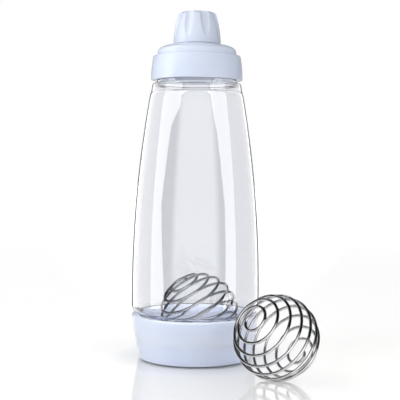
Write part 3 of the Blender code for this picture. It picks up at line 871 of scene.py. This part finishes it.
def shining(name, strength):
    """A material that shines and is clear to look through."""
    material = bpy.data.materials.new(name)
    material.use_nodes = True
    tree = material.node_tree
    tree.nodes.clear()
    glow = tree.nodes.new("ShaderNodeEmission")
    glow.inputs["Strength"].default_value = strength
    clear = tree.nodes.new("ShaderNodeBsdfTransparent")
    both = tree.nodes.new("ShaderNodeAddShader")
    output = tree.nodes.new("ShaderNodeOutputMaterial")
    tree.links.new(glow.outputs["Emission"], both.inputs[0])
    tree.links.new(clear.outputs["BSDF"], both.inputs[1])
    tree.links.new(both.outputs["Shader"], output.inputs["Surface"])
    return material


def softbox(name, corners_deg, distance, strength, surfaces, pieces):
    """A shining panel that lights matt surfaces or shows in glossy ones. It lights the given pieces,
    or all of them where None is given, and it hides nothing."""
    corners = [STUDIO_MIDDLE + direction(*corner) * distance for corner in corners_deg]
    mesh = bpy.data.meshes.new(name)
    mesh.from_pydata([tuple(corner) for corner in corners], [], [tuple(range(len(corners)))])
    mesh.materials.append(shining(name, strength))
    panel = bpy.data.objects.new(name, mesh)
    SCENE.collection.objects.link(panel)
    panel.visible_camera = False
    panel.visible_transmission = False
    panel.visible_diffuse = surfaces == "matt"
    panel.visible_glossy = surfaces == "glossy"
    panel.visible_shadow = False
    if pieces:
        lit = bpy.data.collections.new(name + "_lights")
        for piece in pieces:
            lit.objects.link(piece)
        panel.light_linking.receiver_collection = lit


def floor_piece(name, bore, radius, material):
    """A flat ring of floor."""
    verts, faces = [], []
    for size in (bore, radius):
        for side in range(FLOOR_SIDES):
            angle = 2 * math.pi * side / FLOOR_SIDES
            verts.append((size * math.cos(angle), size * math.sin(angle), FLOOR_LEVEL))
    for side in range(FLOOR_SIDES):
        after = (side + 1) % FLOOR_SIDES
        faces.append((side, FLOOR_SIDES + side, FLOOR_SIDES + after, after))
    mesh = bpy.data.meshes.new(name)
    mesh.from_pydata(verts, [], faces)
    mesh.materials.append(material)
    floor = bpy.data.objects.new(name, mesh)
    SCENE.collection.objects.link(floor)
    return floor


def floor_material():
    """White gloss with a faint glow for the camera and for bounced and transmitted light. Near the base the
    glow for the camera and for bounced light fades to nothing, which paints a contact shadow round the foot.
    """
    material, tree, shader = new_material("floor_look")
    set_inputs(shader, {
        "Base Color": grey(0.84),
        "Roughness": 0.03,
        "IOR": 2.6,
        "Emission Color": grey(1.0),
    })
    path = tree.nodes.new("ShaderNodeLightPath")
    place = tree.nodes.new("ShaderNodeTexCoord").outputs["Object"]
    away = tree.nodes.new("ShaderNodeVectorMath")
    away.operation = "LENGTH"
    tree.links.new(place, away.inputs[0])
    # Painted contact shadow: no glow up to GLOW_START from the middle, full glow from GLOW_END on
    glow_beyond_painted_shadow = tree.nodes.new("ShaderNodeMapRange")
    set_inputs(glow_beyond_painted_shadow, {
        "From Min": GLOW_START,
        "From Max": GLOW_END,
        "To Min": 0.0,
        "To Max": FLOOR_GLOW,
    })
    tree.links.new(away.outputs["Value"], glow_beyond_painted_shadow.inputs["Value"])
    seen = math_node(tree, "MULTIPLY", path.outputs["Is Camera Ray"], glow_beyond_painted_shadow.outputs["Result"])
    through = math_node(tree, "MULTIPLY", path.outputs["Is Transmission Ray"], FLOOR_GLOW)
    bounced = math_node(tree, "MULTIPLY", path.outputs["Is Diffuse Ray"], glow_beyond_painted_shadow.outputs["Result"])
    total = math_node(tree, "ADD", math_node(tree, "ADD", seen, through), bounced)
    tree.links.new(total, shader.inputs["Emission Strength"])
    return material


def studio_floor():
    """A round white glossy table and, past its edge, more floor that no mirror or glass shows."""
    material = floor_material()
    table = floor_piece("table", TABLE_BORE, TABLE_RADIUS, material)
    beyond = floor_piece("floor", TABLE_RADIUS, FLOOR_RADIUS, material)
    beyond.visible_glossy = False
    beyond.visible_transmission = False
    return [table, beyond]


def backdrop_light(tree, colour, strength):
    """A background shader whose colour comes from another node."""
    made = tree.nodes.new("ShaderNodeBackground")
    tree.links.new(colour, made.inputs["Color"])
    made.inputs["Strength"].default_value = strength
    return made.outputs["Background"]


def shown_rays(tree, path):
    """1 for rays from the camera and for those that mirrors and glass send on, and 0 for the rest."""
    sent_on = math_node(
        tree, "MAXIMUM", path.outputs["Is Glossy Ray"], path.outputs["Is Transmission Ray"]
    )
    return math_node(tree, "MAXIMUM", path.outputs["Is Camera Ray"], sent_on)


def white_backdrop(tree, path):
    """White to look at, and more light for the cup's inside, which gets it through the clear wall."""
    let_in = math_node(tree, "GREATER_THAN", path.outputs["Diffuse Depth"], 0.5)
    through_glass = tree.nodes.new("ShaderNodeVectorMath")
    through_glass.operation = "MULTIPLY_ADD"
    tree.links.new(let_in, through_glass.inputs[0])
    through_glass.inputs[1].default_value = LET_IN_LIGHT
    through_glass.inputs[2].default_value = (1.0, 1.0, 1.0)
    return backdrop_light(tree, through_glass.outputs["Vector"], 1.0)


def mirrored_backdrop(tree, ahead):
    """What mirrors show: white in front, greys behind, and dark on either side and above."""
    depth = math_node(tree, "MULTIPLY_ADD", ahead, 0.5, 0.5)
    walls = tree.nodes.new("ShaderNodeValToRGB")
    tree.links.new(depth, walls.inputs["Fac"])
    first, *middle, last = MIRRORED_SHADES
    for element, (position, shade) in zip(walls.color_ramp.elements, (first, last)):
        element.position = position
        element.color = grey(shade)
    for position, shade in middle:
        walls.color_ramp.elements.new(position).color = grey(shade)
    return backdrop_light(tree, walls.outputs["Color"], MIRRORED_STRENGTH)


def studio_world():
    """The world: a plain fill on matt surfaces, white to look at, and shaded walls for mirrors."""
    world = bpy.data.worlds.new("studio")
    SCENE.world = world
    world.use_nodes = True
    tree = world.node_tree
    tree.nodes.clear()
    way = tree.nodes.new("ShaderNodeTexCoord").outputs["Generated"]
    split = tree.nodes.new("ShaderNodeSeparateXYZ")
    tree.links.new(way, split.inputs["Vector"])
    path = tree.nodes.new("ShaderNodeLightPath")
    height = math_node(tree, "MULTIPLY_ADD", split.outputs["Z"], FILL_CHANGE, FILL_LEVEL)
    fill = backdrop_light(tree, height, FILL_STRENGTH)
    mirrored = math_node(tree, "GREATER_THAN", path.outputs["Glossy Depth"], 0.5)
    seen = either(tree, mirrored, white_backdrop(tree, path), mirrored_backdrop(tree, split.outputs["Y"]))
    output = tree.nodes.new("ShaderNodeOutputWorld")
    tree.links.new(either(tree, shown_rays(tree, path), fill, seen), output.inputs["Surface"])


def camera():
    """The camera at the photograph's angle."""
    data = bpy.data.cameras.new("camera")
    data.sensor_width = CAMERA_SENSOR_MM
    data.sensor_fit = "HORIZONTAL"
    data.lens = CAMERA_LENS_MM
    data.clip_start, data.clip_end = CAMERA_CLIP
    made = bpy.data.objects.new("camera", data)
    SCENE.collection.objects.link(made)
    turn = (
        Matrix.Rotation(math.radians(CAMERA_HEADING_DEG), 4, "Z")
        @ Matrix.Rotation(math.radians(90.0 + CAMERA_PITCH_DEG), 4, "X")
        @ Matrix.Rotation(math.radians(CAMERA_ROLL_DEG), 4, "Z")
    )
    made.matrix_world = Matrix.Translation(CAMERA_PLACE) @ turn
    SCENE.camera = made


studio_world()
FLOORS = studio_floor()

# Panels: name, corners, distance in metres, strength, the surfaces they reach, the pieces they light
PANELS = (
    ("back_wall", BACK_WALL, WALL_DISTANCE, 1.10, "glossy", FLOORS),
    ("left_side_wall", LEFT_SIDE_WALL, WALL_DISTANCE, 1.10, "glossy", FLOORS),
    ("right_side_wall", RIGHT_SIDE_WALL, WALL_DISTANCE, 1.10, "glossy", FLOORS),
    ("left_softbox", LEFT_CORNERS, GLASS_DISTANCE, 6.9, "glossy", GLASS),
    ("right_softbox", RIGHT_CORNERS, GLASS_DISTANCE, 6.7, "glossy", GLASS),
    ("left_wall", LEFT_WALL, GLASS_DISTANCE, 3.3, "glossy", GLASS),
    ("right_wall", RIGHT_WALL, GLASS_DISTANCE, 2.6, "glossy", GLASS),
    ("left_sheen", LEFT_CORNERS, SHEEN_DISTANCE, 1.6, "glossy", MOULDED),
    ("right_sheen", RIGHT_CORNERS, SHEEN_DISTANCE, 0.8, "glossy", MOULDED),
    ("left_light", LEFT_CORNERS, LIGHT_DISTANCE, 2.5, "matt", None),
    ("upper_light", UPPER_LIGHT, UPPER_DISTANCE, 2.6, "matt", UPPER),
    ("right_light", RIGHT_CORNERS, LIGHT_DISTANCE, 1.9, "matt", None),
)
for panel_values in PANELS:
    softbox(*panel_values)
camera()
